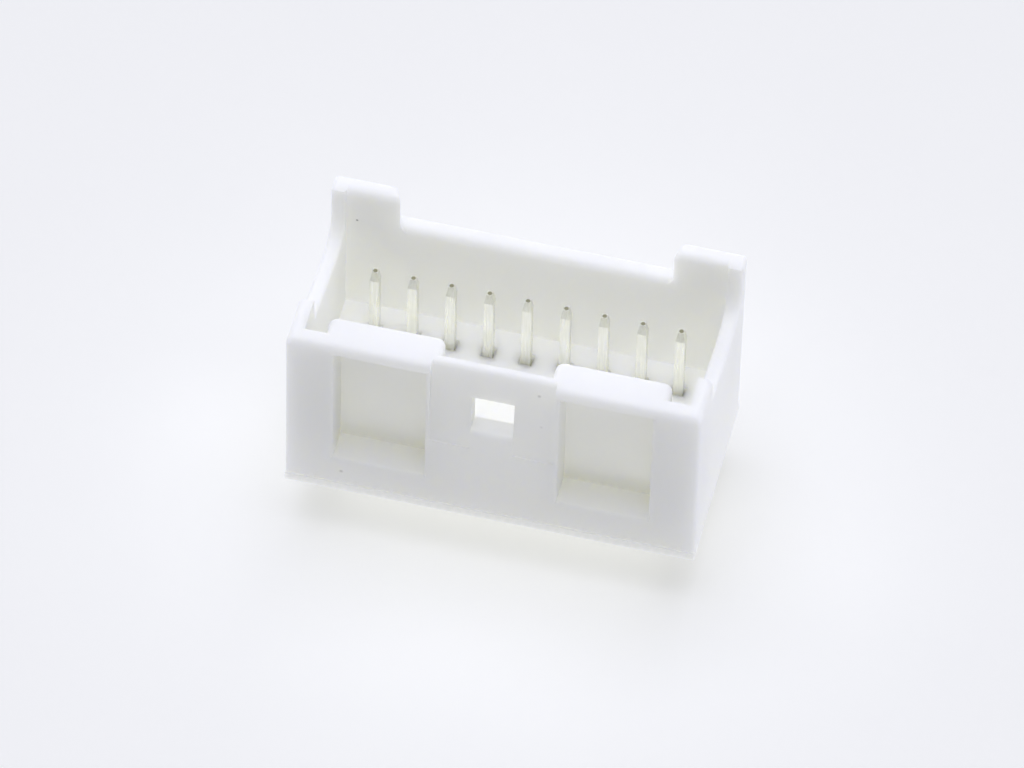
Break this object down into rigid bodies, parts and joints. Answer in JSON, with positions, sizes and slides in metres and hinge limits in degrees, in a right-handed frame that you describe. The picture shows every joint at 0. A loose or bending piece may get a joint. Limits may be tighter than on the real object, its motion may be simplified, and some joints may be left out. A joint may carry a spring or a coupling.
{
  "type": "pin header",
  "caption": "White vertical wire-to-board pin header: open box housing with ears at the back, two front pockets, a latch window and one row of square pins.",
  "frame": {"origin": "middle of the housing's footprint, on the underside that sits on the board", "axes": "+X along the row of pins, +Y from the pocketed front wall towards the back wall, +Z away from the board, the way the pins point into the cavity"},
  "size_m": [0.0214, 0.0104, 0.0155],
  "materials": {
    "housing": "satin natural white moulded nylon",
    "contact": "tin plated square wire"
  },
  "bodies": {
    "root": {"housing": "housing", "pin_1": "contact", "pin_2": "contact", "pin_3": "contact", "pin_4": "contact", "pin_5": "contact", "pin_6": "contact", "pin_7": "contact", "pin_8": "contact", "pin_9": "contact"}
  },
  "joints": []
}
